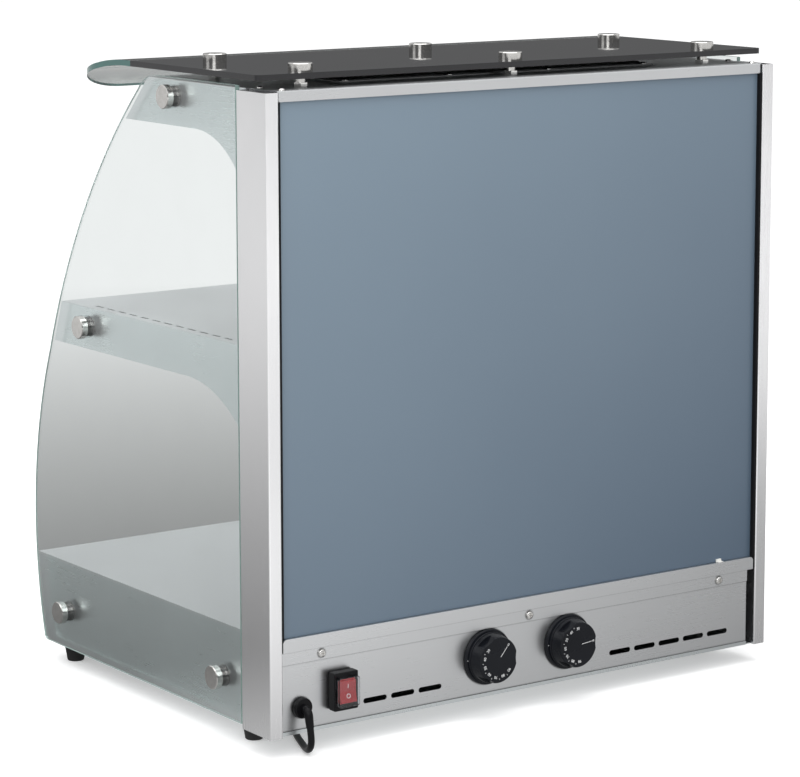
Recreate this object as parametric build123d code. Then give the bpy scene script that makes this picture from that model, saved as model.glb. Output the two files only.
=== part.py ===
"""Countertop hot food display case: two heated tiers, open front, mirror back, flat side glasses, canopy glass.

Millimetres. +Z up, front faces -Y, controls face +Y. Origin: centre of the footprint, on the surface it stands on.
Depths are measured forward from the rear face of the posts, and heights from the underside of the body.
"""
from build123d import *
from math import asin, cos, pi, radians, sin, tan
import os

# ---- overall ----
WIDTH = 660.0            # over the rear posts and the side glasses
BODY_HEIGHT = 651.5      # underside of the body to the top of the posts
BASE_DEPTH = 498.5       # rear face of the posts to the front lip of the deck
FOOT_HEIGHT = 21.5
SHEET = 1.2              # stainless sheet

# ---- rear posts ----
POST_WIDTH = 15.3
POST_DEPTH = 54.4
POST_CORNER = 1.6

# ---- side glasses and their standoffs ----
GLASS_THICK = 5.0
GLASS_SPACER = 7.0       # glass to side sheet
GLASS_TO_POST = 1.0
GLASS_BOTTOM = 4.5
GLASS_RISE = 4.5         # glass above the posts
GLASS_BEND = 338.0       # height where its front edge's two arcs meet
CAP_DIAMETER = 25.0
CAP_THICK = 7.0
BOLT_DIAMETER = 6.0
BOLT_HOLE = 6.4
GLASS_HOLE = 9.0
SPACER_DIAMETER = 21.0

# ---- canopy glass ----
CANOPY_HALF = 327.5
CANOPY_THICK = 6.0
CANOPY_GAP = 9.3         # top plate to canopy glass
CANOPY_REAR = 18.5       # depth of its rear edge
CANOPY_BEND = 275.0      # depth where the bend starts
CANOPY_RADIUS = 302.0
CANOPY_FRONT = 412.0     # depth of its front edge
CANOPY_FRONT_CORNER = 74.0
CANOPY_REAR_CORNER = 5.0
CANOPY_CAP_THICK = 8.5
CANOPY_CAP_X = 262.0
CANOPY_CAP_DEPTHS = (41.5, 203.5)
CANOPY_SPACER_DIAMETER = 11.0
CANOPY_NUT_FLATS = 13.0
CANOPY_NUT_THICK = 4.0

# ---- rear panel, rails and mirror ----
PANEL_DEPTH = 6.0        # depth of the panel's outer face
PANEL_TOP = 88.1
PANEL_SHORT_END = 23.0   # the panel stops this far inside the case's -X side
PANEL_LONG_END = 17.0
MIRROR_DEPTH = 6.5
MIRROR_THICK = 5.0
MIRROR_TOP = BODY_HEIGHT - 4.5
GASKET_WALL = 1.3
GASKET_REACH = 2.7
GASKET_DEPTH = 1.5       # depth of its rear lip's outer face
GASKET_TAIL = 1.4        # its width beside the lower rail
TOP_RAIL_DEPTH = 3.0
TOP_RAIL_HEIGHT = 9.6
RAIL_END_GAP = 1.7
LOWER_RAIL_DEPTH = 1.8
LOWER_RAIL_BOTTOM = 86.9
LOWER_RAIL_TOP = 100.9
FLANGE_GAP = 0.2         # bezel to the lower rail's flange
RAIL_SCREW_X = (-265.0, 0.0, 265.0)
RAIL_SCREW_HEIGHT = 80.0
RAIL_SCREW_HEAD = 9.2
RAIL_CORNER = 4.5
LIP_HEIGHT = 4.0

# ---- base and deck ----
DECK_TOP = 99.2
DECK_LIP = 3.0
BASE_FRONT_SLOPE = 16.1  # the front leans out by this much from bottom to top
FLANGE = 12.0
NOTCH_GAP = 0.3

# ---- shelf ----
SHELF_TOP = 393.2
SHELF_BOTTOM = 347.5
SHELF_TOP_DEPTH = 434.0
SHELF_BOTTOM_DEPTH = 451.5
SHELF_GUSSET_START = 170.0
SHELF_GUSSET_RADIUS = 152.0
SLOT_COUNT = 13
SLOT_PITCH = 24.0
SLOT_FIRST = 84.0
SLOT_LENGTH = 16.0
SLOT_WIDTH = 3.2
SLOT_INSET = 13.0

# ---- top box ----
TOP_BOX_BOTTOM = BODY_HEIGHT - 46.0
TOP_BOX_TOP_DEPTH = 241.0
TOP_BOX_BOTTOM_DEPTH = 287.4
TOP_GUSSET_START = 148.0
TOP_GUSSET_RADIUS = 105.0
LENS_DEPTHS = (116.0, 150.0)
LENS_HALF = 285.0
LENS_DROP = 4.5
LAMP_DIAMETER = 12.0
LAMP_HALF = 240.0
COVER_HALF = 205.0
COVER_DEPTHS = (56.0, 190.0)
COVER_RISE = 3.0
COVER_RIM = 9.0
SMALL_SCREW = 3.5
SMALL_SCREW_HOLE = 3.7
PLATE_SCREW_DEPTH = 48.0
PLATE_SCREW_INSET = 9.0  # from the posts' inner faces

# ---- controls ----
KNOB_X = (55.0, -52.0)
KNOB_HEIGHT = 43.2
BEZEL_DIAMETER = 60.0
BEZEL_THICK = 7.0
KNOB_BASE_DIAMETER = 53.0
KNOB_FACE_DIAMETER = 49.0
KNOB_PROUD = 21.0        # panel to knob face
KNOB_GAP = 0.6
KNOB_LOBES = 3
SCOOP_RADIUS = 31.0
SCOOP_DEPTH = 4.0        # cut into the knob's base circle
SCOOP_START = 4.0        # above the knob's rear
SPINDLE_DIAMETER = 6.0
RUNNING_FIT = 0.05       # radial clearance of the spindle in its bush
BUSH_DIAMETER = 10.0
THERMOSTAT_SIZE = (42.0, 30.0, 36.0)
SWITCH_X = 242.3
SWITCH_HEIGHT = 39.0
SWITCH_SIZE = (29.4, 40.0)
SWITCH_PROUD = 12.5
ROCKER_SIZE = (19.0, 23.0)
ROCKER_PROUD = 2.8       # its pressed half in front of the frame
ROCKER_TRAVEL = 10.0     # degrees from one state to the other
ROCKER_AXLE = 3.0
ROCKER_AXLE_DEPTH = 5.0  # axle centre behind the frame's front
COVER_SIZE = (25.6, 31.0)
COVER_PROUD = 6.8
COVER_WALL = 0.8
ROCKER_GAP = 0.5
VENT_LENGTH = 29.3
VENT_WIDTH = 5.6
VENT_HEIGHT = 20.5
VENT_PITCH = 34.8
VENTS_LEFT_START = 213.0
VENTS_LEFT = 3
VENTS_RIGHT_START = -110.8
VENTS_RIGHT = 5

# ---- feet ----
FOOT_X = 300.0
FOOT_DEPTHS = (78.5, 455.0)
FOOT_TOP_DIAMETER = 26.0
FOOT_BOTTOM_DIAMETER = 18.5

# ---- mains lead ----
CORD_DIAMETER = 7.2
GLAND_X = 289.5
GLAND_HEIGHT = 26.8
GLAND_DIAMETER = 21.5
GLAND_PROUD = 6.0
GLAND_NECK = 13.8
ELBOW_RADIUS = 7.5
RELIEF_TOP_DIAMETER = 9.0
RELIEF_END_DIAMETER = 8.0
RELIEF_LENGTH = 12.0
RELIEF_SLANT = 12.0      # degrees from straight down, outward
COIL_CENTRE = (-30.0, -330.5)
COIL_MEAN_DIAMETER = 75.0
COIL_BAND = 24.4
COIL_HEIGHT = 14.6

PLUG_LENGTH = 40.0
PLUG_WIDTH = 27.0
PLUG_THICK = 22.0
PLUG_RELIEF = 22.0
PLUG_RELIEF_DIAMETER = 12.8

# ---- worked out ----
FRONT_REACH = BASE_DEPTH
REAR_REACH = KNOB_PROUD - PANEL_DEPTH
REAR_Y = (FRONT_REACH + REAR_REACH) / 2 - REAR_REACH
HALF = WIDTH / 2
SIDE_X = HALF - GLASS_THICK - GLASS_SPACER        # outer face of the side sheets
INNER_X = SIDE_X - SHEET
POST_IN = HALF - POST_WIDTH
PLATE_TOP = BODY_HEIGHT + SHEET
CANOPY_BOTTOM = PLATE_TOP + CANOPY_GAP
CANOPY_TOP = CANOPY_BOTTOM + CANOPY_THICK
BASE_BOTTOM_DEPTH = BASE_DEPTH - BASE_FRONT_SLOPE
SHELL_TOP = DECK_TOP - DECK_LIP
PANEL_LEFT = HALF - PANEL_LONG_END
PANEL_RIGHT = -(HALF - PANEL_SHORT_END)
PANEL_Y = REAR_Y - PANEL_DEPTH
LOWER_FLANGE_BOTTOM = KNOB_HEIGHT + BEZEL_DIAMETER / 2 + FLANGE_GAP
SWITCH_FRONT = PANEL_DEPTH - SWITCH_PROUD
ROCKER_AXLE_AT = SWITCH_FRONT + ROCKER_AXLE_DEPTH
MIRROR_HALF = POST_IN - GASKET_WALL
DECK_REAR = MIRROR_DEPTH + MIRROR_THICK + GASKET_WALL + NOTCH_GAP
SIDE_CAPS = (             # depth and height of each standoff of a side glass
    (185.8, BODY_HEIGHT - 15.5),
    (372.3, 373.0),
    (429.2, 43.5),
    (102.6, 43.5),
)


def at(depth):
    """Y of a depth measured forward from the rear face of the posts."""
    return REAR_Y - depth


def up(height):
    """Z of a height measured from the underside of the body."""
    return FOOT_HEIGHT + height


def block(x0, x1, d0, d1, h0, h1):
    """A box between two X, two depths and two body heights."""
    centre = Pos((x0 + x1) / 2, at((d0 + d1) / 2), up((h0 + h1) / 2))
    return centre * Box(abs(x1 - x0), abs(d1 - d0), abs(h1 - h0))


def rod_x(x0, x1, depth, height, diameter):
    return Pos((x0 + x1) / 2, at(depth), up(height)) * Rot(0, 90, 0) * Cylinder(diameter / 2, abs(x1 - x0))


def rod_y(x, d0, d1, height, diameter):
    return Pos(x, at((d0 + d1) / 2), up(height)) * Rot(90, 0, 0) * Cylinder(diameter / 2, abs(d1 - d0))


def rod_z(x, depth, h0, h1, diameter):
    return Pos(x, at(depth), up((h0 + h1) / 2)) * Cylinder(diameter / 2, abs(h1 - h0))


def hex_z(x, depth, h0, h1, flats):
    prism = extrude(RegularPolygon(flats / 2, 6, major_radius=False), abs(h1 - h0))
    return Pos(x, at(depth), up(min(h0, h1))) * prism


def hex_x(x0, x1, depth, height, flats):
    prism = extrude(RegularPolygon(flats / 2, 6, major_radius=False), abs(x1 - x0))
    return Pos(min(x0, x1), at(depth), up(height)) * Rot(0, 90, 0) * prism


def side_outline(points):
    """Closed straight outline in the side view, from (depth, height) points."""
    corners = [(0, at(d), up(h)) for d, h in points]
    return Polyline(*corners, close=True)


def side_prism(outline, x0, x1):
    """The outline, drawn in the plane X = 0, as a solid from x0 to x1."""
    face = make_face(outline)
    return Pos(min(x0, x1), 0, 0) * extrude(face, abs(x1 - x0), dir=(1, 0, 0))


def slot_z(x, depth, h0, h1, length, width):
    """A round-ended slot that runs along Y and cuts along Z."""
    shape = extrude(SlotOverall(length, width, rotation=90), abs(h1 - h0))
    return Pos(x, at(depth), up(min(h0, h1))) * shape


def slot_y(x, height, length, width, d0, d1):
    """A round-ended slot that runs along X and cuts along Y."""
    shape = extrude(SlotOverall(length, width), abs(d1 - d0))
    return Pos(x, at(min(d0, d1)), up(height)) * Rot(90, 0, 0) * shape


def gather(shapes):
    """Separate solids kept together in one node."""
    solids = []
    for shape in shapes:
        solids.extend(shape.solids())
    return Compound(children=solids)


def pan_screw(x, depth, height, diameter, head, reach):
    """A pan-head screw driven in towards the front, its head on the plane at this depth."""
    head_height = head * 0.32
    dome = rod_y(x, depth - head_height, depth, height, head)
    dome = fillet(dome.edges().group_by(Axis.Y)[-1], head_height * 0.8)
    cross = block(x - head * 0.3, x + head * 0.3, depth - head_height, depth - head_height * 0.45,
                  height - 0.45, height + 0.45)
    cross += block(x - 0.45, x + 0.45, depth - head_height, depth - head_height * 0.45,
                   height - head * 0.3, height + head * 0.3)
    return (dome - cross) + rod_y(x, depth, depth + reach, height, diameter)


def down_screw(x, depth, height, diameter, head, reach, sign=1):
    """A pan-head screw along Z; sign 1 has its head on top, -1 underneath."""
    head_height = head * 0.32
    dome = Pos(0, 0, head_height / 2) * Cylinder(head / 2, head_height)
    dome = fillet(dome.edges().group_by(Axis.Z)[-1], head_height * 0.8)
    cross = Pos(0, 0, head_height) * Box(head * 0.6, 0.9, head_height * 1.1)
    cross += Pos(0, 0, head_height) * Box(0.9, head * 0.6, head_height * 1.1)
    screw = (dome - cross) + Pos(0, 0, -reach / 2) * Cylinder(diameter / 2, reach)
    if sign < 0:
        screw = Rot(180, 0, 0) * screw
    return Pos(x, at(depth), up(height)) * screw


# ---------------------------------------------------------------- frame

def post(side):
    outer = block(side * POST_IN, side * HALF, 0, POST_DEPTH, 0, BODY_HEIGHT)
    outer = fillet(outer.edges().filter_by(Axis.Z), POST_CORNER)
    inner = block(side * (POST_IN + SHEET), side * (HALF - SHEET), SHEET, POST_DEPTH - SHEET,
                  -1, BODY_HEIGHT + 1)
    return outer - inner


def base_walls(x_half, inset):
    """Solid prism of the base's side outline, its faces set in by inset."""
    lean = BASE_FRONT_SLOPE / SHELL_TOP
    outline = side_outline([
        (POST_DEPTH - inset * 50, inset),
        (BASE_BOTTOM_DEPTH + lean * inset - inset, inset),
        (BASE_BOTTOM_DEPTH + lean * (SHELL_TOP + inset) - inset, SHELL_TOP + inset),
        (POST_DEPTH - inset * 50, SHELL_TOP + inset),
    ])
    return side_prism(outline, -x_half, x_half)


def base_shell():
    shell = base_walls(SIDE_X, 0) - base_walls(INNER_X, SHEET)
    for side in (1, -1):
        shell += block(side * (INNER_X - FLANGE), side * INNER_X, POST_DEPTH, BASE_BOTTOM_DEPTH,
                       SHELL_TOP - SHEET, SHELL_TOP)
    shell += block(-(POST_IN - NOTCH_GAP), POST_IN - NOTCH_GAP, PANEL_DEPTH, POST_DEPTH, 0, SHEET)
    shell += block(PANEL_RIGHT, PANEL_LEFT, PANEL_DEPTH - SHEET, PANEL_DEPTH, 0, LIP_HEIGHT)
    for side in (1, -1):
        for depth, height in SIDE_CAPS[2:]:
            shell -= rod_x(side * (INNER_X - 2), side * (SIDE_X + 2), depth, height, BOLT_HOLE)
        for depth in FOOT_DEPTHS:
            shell -= rod_z(side * FOOT_X, depth, -1, SHEET + 1, 5.2)
        for i in range(7):
            shell -= slot_z(side * 150 + (i - 3) * 18, 270, -1, SHEET + 1, 60, 6)
    return shell


def deck():
    top = block(-SIDE_X, SIDE_X, POST_DEPTH, BASE_DEPTH, DECK_TOP - SHEET, DECK_TOP)
    top += block(-(POST_IN - NOTCH_GAP), POST_IN - NOTCH_GAP, DECK_REAR, POST_DEPTH, DECK_TOP - SHEET, DECK_TOP)
    for side in (1, -1):
        top += block(side * INNER_X, side * SIDE_X, POST_DEPTH, BASE_DEPTH, DECK_TOP - DECK_LIP, DECK_TOP)
    top += block(-SIDE_X, SIDE_X, BASE_DEPTH - SHEET, BASE_DEPTH, DECK_TOP - DECK_LIP, DECK_TOP)
    rear_half = POST_IN - NOTCH_GAP
    top += block(-rear_half, rear_half, DECK_REAR, DECK_REAR + SHEET, PANEL_TOP, DECK_TOP)
    return top


def control_panel():
    panel = block(PANEL_RIGHT, PANEL_LEFT, PANEL_DEPTH, PANEL_DEPTH + SHEET, SHEET, PANEL_TOP)
    panel += block(PANEL_RIGHT, PANEL_LEFT, PANEL_DEPTH, PANEL_DEPTH + 18, PANEL_TOP - SHEET, PANEL_TOP)
    panel += block(PANEL_RIGHT, PANEL_LEFT, PANEL_DEPTH, PANEL_DEPTH + 14, SHEET, SHEET * 2)
    for x0 in (PANEL_RIGHT, PANEL_LEFT - SHEET):
        panel += block(x0, x0 + SHEET, PANEL_DEPTH, PANEL_DEPTH + 18, SHEET, PANEL_TOP)
    cut = (PANEL_DEPTH - 1, PANEL_DEPTH + SHEET + 1)
    for i in range(VENTS_LEFT):
        x = VENTS_LEFT_START - VENT_LENGTH / 2 - i * VENT_PITCH
        panel -= slot_y(x, VENT_HEIGHT, VENT_LENGTH, VENT_WIDTH, *cut)
    for i in range(VENTS_RIGHT):
        x = VENTS_RIGHT_START - VENT_LENGTH / 2 - i * VENT_PITCH
        panel -= slot_y(x, VENT_HEIGHT, VENT_LENGTH, VENT_WIDTH, *cut)
    for x in KNOB_X:
        panel -= rod_y(x, *cut, KNOB_HEIGHT, BUSH_DIAMETER + 0.4)
    panel -= block(SWITCH_X - 11.2, SWITCH_X + 11.2, *cut, SWITCH_HEIGHT - 15.2, SWITCH_HEIGHT + 15.2)
    panel -= rod_y(GLAND_X, *cut, GLAND_HEIGHT, GLAND_NECK + 0.2)
    for x in RAIL_SCREW_X:
        panel -= rod_y(x, *cut, RAIL_SCREW_HEIGHT, 4.2)
    return panel


def lower_rail():
    half = POST_IN - RAIL_END_GAP
    rail = block(-half, half, LOWER_RAIL_DEPTH, LOWER_RAIL_DEPTH + SHEET, LOWER_RAIL_BOTTOM, LOWER_RAIL_TOP)
    rail = fillet(rail.edges().filter_by(Axis.Y).group_by(Axis.Z)[-1], RAIL_CORNER)
    rail += block(-half + RAIL_CORNER, half - RAIL_CORNER, LOWER_RAIL_DEPTH, MIRROR_DEPTH, LOWER_RAIL_TOP - SHEET, LOWER_RAIL_TOP)
    rail += block(-half, half, LOWER_RAIL_DEPTH, PANEL_DEPTH, LOWER_RAIL_BOTTOM, LOWER_RAIL_BOTTOM + SHEET)
    rail += block(PANEL_RIGHT, PANEL_LEFT, PANEL_DEPTH - SHEET, PANEL_DEPTH, LOWER_FLANGE_BOTTOM,
                  LOWER_RAIL_BOTTOM + SHEET)
    for x in RAIL_SCREW_X:
        rail -= rod_y(x, PANEL_DEPTH - 3, PANEL_DEPTH + 1, RAIL_SCREW_HEIGHT, 4.2)
    return rail


def rail_screws():
    seat = PANEL_DEPTH - SHEET
    return gather([pan_screw(x, seat, RAIL_SCREW_HEIGHT, 4.0, RAIL_SCREW_HEAD, 9.0) for x in RAIL_SCREW_X])


def top_rail():
    half = POST_IN - RAIL_END_GAP
    bottom = BODY_HEIGHT - TOP_RAIL_HEIGHT
    far = MIRROR_DEPTH + MIRROR_THICK + GASKET_WALL + SHEET
    rail = block(-half, half, TOP_RAIL_DEPTH, far, bottom, BODY_HEIGHT)
    rail -= block(-half - 1, half + 1, TOP_RAIL_DEPTH + SHEET, far - SHEET, bottom - 1, BODY_HEIGHT - SHEET)
    for x, depth in rail_screw_places():
        rail -= rod_z(x, depth, BODY_HEIGHT - SHEET - 1, BODY_HEIGHT + 1, SMALL_SCREW_HOLE)
    return rail


def mirror():
    return block(-MIRROR_HALF, MIRROR_HALF, MIRROR_DEPTH, MIRROR_DEPTH + MIRROR_THICK, PANEL_TOP, MIRROR_TOP)


def gasket(side):
    """U-shaped rubber channel over one upright edge of the mirror."""
    outer = block(side * (POST_IN - GASKET_REACH), side * POST_IN, GASKET_DEPTH,
                  MIRROR_DEPTH + MIRROR_THICK + GASKET_WALL, LOWER_RAIL_TOP, BODY_HEIGHT - TOP_RAIL_HEIGHT)
    tail = block(side * (POST_IN - GASKET_TAIL), side * POST_IN, GASKET_DEPTH, MIRROR_DEPTH,
                 PANEL_TOP, LOWER_RAIL_TOP)
    groove = block(side * (POST_IN - GASKET_REACH - 1), side * MIRROR_HALF, MIRROR_DEPTH,
                   MIRROR_DEPTH + MIRROR_THICK, LOWER_RAIL_TOP - 1, MIRROR_TOP)
    return outer - groove + tail


def mirror_clip():
    """Small spring clip that hooks over the lower rail and presses on the mirror."""
    clip = block(-269, -262, LOWER_RAIL_DEPTH, MIRROR_DEPTH, LOWER_RAIL_TOP, LOWER_RAIL_TOP + 0.8)
    return clip + block(-269, -262, MIRROR_DEPTH - 1.2, MIRROR_DEPTH, LOWER_RAIL_TOP, LOWER_RAIL_TOP + 3.2)


# ---------------------------------------------------------------- shelf

def gusset_edge(start, radius, height):
    """Side-view arc that leaves the underside at start and meets the post's front face."""
    run = start - POST_DEPTH
    drop = radius - (radius ** 2 - run ** 2) ** 0.5
    half = asin(run / radius) / 2
    middle = (start - radius * sin(half), height - radius * (1 - cos(half)))
    return middle, (POST_DEPTH, height - drop)


def bracket(side, corners, start, radius, height, holes):
    """Side sheet with straight front corners and an arched gusset under its rear end."""
    middle, foot = gusset_edge(start, radius, height)
    to3 = lambda p: (0, at(p[0]), up(p[1]))
    straight = Polyline(*[to3(p) for p in [foot, (POST_DEPTH, corners[0][1])] + corners + [(start, height)]])
    arch = ThreePointArc(to3((start, height)), to3(middle), to3(foot))
    plate = side_prism(Curve() + [straight, arch], side * INNER_X, side * SIDE_X)
    for depth, z in holes:
        plate -= rod_x(side * (INNER_X - 2), side * (SIDE_X + 2), depth, z, BOLT_HOLE)
    return plate


def shelf_bracket(side):
    corners = [(SHELF_TOP_DEPTH, SHELF_TOP), (SHELF_BOTTOM_DEPTH, SHELF_BOTTOM)]
    return bracket(side, corners, SHELF_GUSSET_START, SHELF_GUSSET_RADIUS, SHELF_BOTTOM, SIDE_CAPS[1:2])


def shelf_front(inset):
    """Depth of the shelf's sloping front at a height, set in by inset."""
    slope = (SHELF_BOTTOM_DEPTH - SHELF_TOP_DEPTH) / (SHELF_TOP - SHELF_BOTTOM)
    return lambda height: SHELF_TOP_DEPTH + slope * (SHELF_TOP - height) - inset


def shelf_top():
    outer_front = shelf_front(0)
    inner_front = shelf_front(SHEET)
    low = SHELF_BOTTOM + SHEET
    rear = DECK_REAR
    outline = side_outline([
        (POST_DEPTH + NOTCH_GAP, SHELF_TOP), (outer_front(SHELF_TOP), SHELF_TOP), (outer_front(low), low),
        (inner_front(low), low), (inner_front(SHELF_TOP - SHEET), SHELF_TOP - SHEET),
        (POST_DEPTH + NOTCH_GAP, SHELF_TOP - SHEET),
    ])
    sheet = side_prism(outline, -INNER_X, INNER_X)
    half = POST_IN - NOTCH_GAP
    sheet += block(-half, half, rear, POST_DEPTH + NOTCH_GAP, SHELF_TOP - SHEET, SHELF_TOP)
    sheet += block(-half, half, rear, rear + SHEET, low, SHELF_TOP)
    for side in (1, -1):
        for i in range(SLOT_COUNT):
            x = side * (SIDE_X - SLOT_INSET)
            depth = SLOT_FIRST + i * SLOT_PITCH
            sheet -= slot_z(x, depth, SHELF_TOP - SHEET - 1, SHELF_TOP + 1, SLOT_LENGTH, SLOT_WIDTH)
    return sheet


def shelf_pan():
    front = SHELF_BOTTOM_DEPTH
    half = POST_IN - NOTCH_GAP
    pan = block(-INNER_X, INNER_X, POST_DEPTH + NOTCH_GAP, front, SHELF_BOTTOM, SHELF_BOTTOM + SHEET)
    pan += block(-half, half, DECK_REAR, POST_DEPTH + NOTCH_GAP, SHELF_BOTTOM, SHELF_BOTTOM + SHEET)
    for x, depth in pan_screw_places():
        pan -= rod_z(x, depth, SHELF_BOTTOM - 1, SHELF_BOTTOM + SHEET + 1, 4.2)
    return pan


def pan_screw_places():
    return [(side * (INNER_X - 9), depth) for side in (1, -1) for depth in (203.0, 292.0, 400.0)]


def shelf_pan_screws():
    return gather([down_screw(x, depth, SHELF_BOTTOM, 4.0, 7.0, 8.0, sign=-1) for x, depth in pan_screw_places()])


# ---------------------------------------------------------------- top box

def top_bracket(side):
    corners = [(TOP_BOX_TOP_DEPTH, BODY_HEIGHT), (TOP_BOX_BOTTOM_DEPTH, TOP_BOX_BOTTOM)]
    return bracket(side, corners, TOP_GUSSET_START, TOP_GUSSET_RADIUS, TOP_BOX_BOTTOM, SIDE_CAPS[:1])


def top_front(height, inset=0.0):
    slope = (TOP_BOX_BOTTOM_DEPTH - TOP_BOX_TOP_DEPTH) / (BODY_HEIGHT - TOP_BOX_BOTTOM)
    return TOP_BOX_TOP_DEPTH + slope * (BODY_HEIGHT - height) - inset


def top_fascia():
    low = TOP_BOX_BOTTOM + SHEET
    wall = SHEET * 1.4
    outline = side_outline([
        (top_front(BODY_HEIGHT), BODY_HEIGHT), (top_front(low), low), (top_front(low, wall), low),
        (top_front(BODY_HEIGHT, wall), BODY_HEIGHT),
    ])
    return side_prism(outline, -INNER_X, INNER_X)


def top_plate():
    half = POST_IN - NOTCH_GAP
    plate = block(-SIDE_X, SIDE_X, POST_DEPTH + NOTCH_GAP, TOP_BOX_TOP_DEPTH, BODY_HEIGHT, PLATE_TOP)
    plate += block(-half, half, TOP_RAIL_DEPTH, POST_DEPTH + NOTCH_GAP, BODY_HEIGHT, PLATE_TOP)
    for x in (-CANOPY_CAP_X, 0, CANOPY_CAP_X):
        for depth in CANOPY_CAP_DEPTHS:
            plate -= rod_z(x, depth, BODY_HEIGHT - 1, PLATE_TOP + 1, BOLT_HOLE)
    inside = (COVER_DEPTHS[0] + 15, COVER_DEPTHS[1] - 15)
    plate -= block(-COVER_HALF + 20, COVER_HALF - 20, *inside, BODY_HEIGHT - 1, PLATE_TOP + 1)
    for x, depth in plate_screw_places() + cover_screw_places():
        plate -= rod_z(x, depth, BODY_HEIGHT - 1, PLATE_TOP + 1, SMALL_SCREW_HOLE)
    return plate


def rail_screw_places():
    """Two screws that hold the plate down on the top rail."""
    depth = (TOP_RAIL_DEPTH + MIRROR_DEPTH + MIRROR_THICK + GASKET_WALL + SHEET) / 2
    return [(side * (POST_IN - PLATE_SCREW_INSET), depth) for side in (1, -1)]


def plate_screw_places():
    """All screws seated on the plate itself: the rail's two and one more near each post's front."""
    return rail_screw_places() + [(side * (POST_IN - PLATE_SCREW_INSET), PLATE_SCREW_DEPTH) for side in (1, -1)]


def cover_screw_places():
    front, rear = COVER_DEPTHS[1] - COVER_RIM / 2, COVER_DEPTHS[0] + COVER_RIM / 2
    spread = COVER_HALF - 10
    return [(x, depth) for depth in (rear, front) for x in (-spread, -spread / 3, spread / 3, spread)]


def access_cover():
    """Removable cover: a flat rim on the top plate and a raised pressed middle."""
    cover = block(-COVER_HALF, COVER_HALF, *COVER_DEPTHS, PLATE_TOP, PLATE_TOP + SHEET)
    x = COVER_HALF - COVER_RIM
    depths = (COVER_DEPTHS[0] + COVER_RIM, COVER_DEPTHS[1] - COVER_RIM)
    raised = block(-x, x, *depths, PLATE_TOP, PLATE_TOP + SHEET + COVER_RISE)
    raised = chamfer(raised.edges().group_by(Axis.Z)[-1], COVER_RISE * 0.9)
    hollow = block(-x + 3, x - 3, depths[0] + 3, depths[1] - 3, PLATE_TOP - 1, PLATE_TOP + COVER_RISE)
    cover = cover + raised - hollow
    for sx, depth in cover_screw_places():
        cover -= rod_z(sx, depth, PLATE_TOP - 1, PLATE_TOP + SHEET + 1, SMALL_SCREW_HOLE)
    return cover


def top_screws():
    seats = [(x, depth, PLATE_TOP) for x, depth in plate_screw_places()]
    seats += [(x, depth, PLATE_TOP + SHEET) for x, depth in cover_screw_places()]
    return gather([down_screw(x, depth, seat, SMALL_SCREW, 6.8, 5.0) for x, depth, seat in seats])


def top_pan():
    """Underside of the top box, with the window that the lamp shines through."""
    far = top_front(TOP_BOX_BOTTOM + SHEET)
    pan = block(-INNER_X, INNER_X, POST_DEPTH + NOTCH_GAP, far, TOP_BOX_BOTTOM, TOP_BOX_BOTTOM + SHEET)
    half = POST_IN - NOTCH_GAP
    pan += block(-half, half, DECK_REAR + 3, POST_DEPTH + NOTCH_GAP, TOP_BOX_BOTTOM, TOP_BOX_BOTTOM + SHEET)
    return pan - block(-LENS_HALF + 4, LENS_HALF - 4, LENS_DEPTHS[0] + 4, LENS_DEPTHS[1] - 4,
                       TOP_BOX_BOTTOM - 1, TOP_BOX_BOTTOM + SHEET + 1)


def lamp_lens():
    """Frosted trough under the window."""
    outer = block(-LENS_HALF, LENS_HALF, *LENS_DEPTHS, TOP_BOX_BOTTOM - LENS_DROP, TOP_BOX_BOTTOM)
    outer = fillet(outer.edges().filter_by(Axis.X).group_by(Axis.Z)[0], 3.5)
    return outer - block(-LENS_HALF + 3, LENS_HALF - 3, LENS_DEPTHS[0] + 3, LENS_DEPTHS[1] - 3,
                         TOP_BOX_BOTTOM - LENS_DROP + 1.8, TOP_BOX_BOTTOM + 1)


LAMP_DEPTH = sum(LENS_DEPTHS) / 2
LAMP_HEIGHT = TOP_BOX_BOTTOM + 16


def lamp_tube():
    tube = rod_x(-LAMP_HALF, LAMP_HALF, LAMP_DEPTH, LAMP_HEIGHT, LAMP_DIAMETER)
    return fillet(tube.edges(), 3.0)


def lamp_holders():
    holders = []
    for side in (1, -1):
        foot = block(side * (LAMP_HALF - 6), side * (LAMP_HALF + 14), LAMP_DEPTH - 11, LAMP_DEPTH + 11,
                     TOP_BOX_BOTTOM + SHEET, LAMP_HEIGHT + 10)
        foot = fillet(foot.edges().filter_by(Axis.X).group_by(Axis.Z)[-1], 6)
        foot -= rod_x(side * (LAMP_HALF - 7), side * LAMP_HALF, LAMP_DEPTH, LAMP_HEIGHT, LAMP_DIAMETER)
        window = block(side * (LAMP_HALF - 7), side * (LENS_HALF - 4), LENS_DEPTHS[0] + 4, LENS_DEPTHS[1] - 4,
                       TOP_BOX_BOTTOM, TOP_BOX_BOTTOM + SHEET)
        holders.append(foot - window)
    return gather(holders)


def reflector():
    """Bent sheet over the lamp, standing on the top box's underside."""
    depth0, depth1 = LENS_DEPTHS[0] - 14, LENS_DEPTHS[1] + 14
    low = TOP_BOX_BOTTOM + SHEET
    high = LAMP_HEIGHT + 16
    outer = side_outline([(depth0, low), (depth0 + 12, high), (depth1 - 12, high), (depth1, low)])
    inner = side_outline([(depth0 + 1.3, low), (depth0 + 13, high - 1), (depth1 - 13, high - 1), (depth1 - 1.3, low)])
    return side_prism(outer, -LAMP_HALF - 20, LAMP_HALF + 20) - side_prism(inner, -LAMP_HALF - 21, LAMP_HALF + 21)


# ---------------------------------------------------------------- glass

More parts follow.
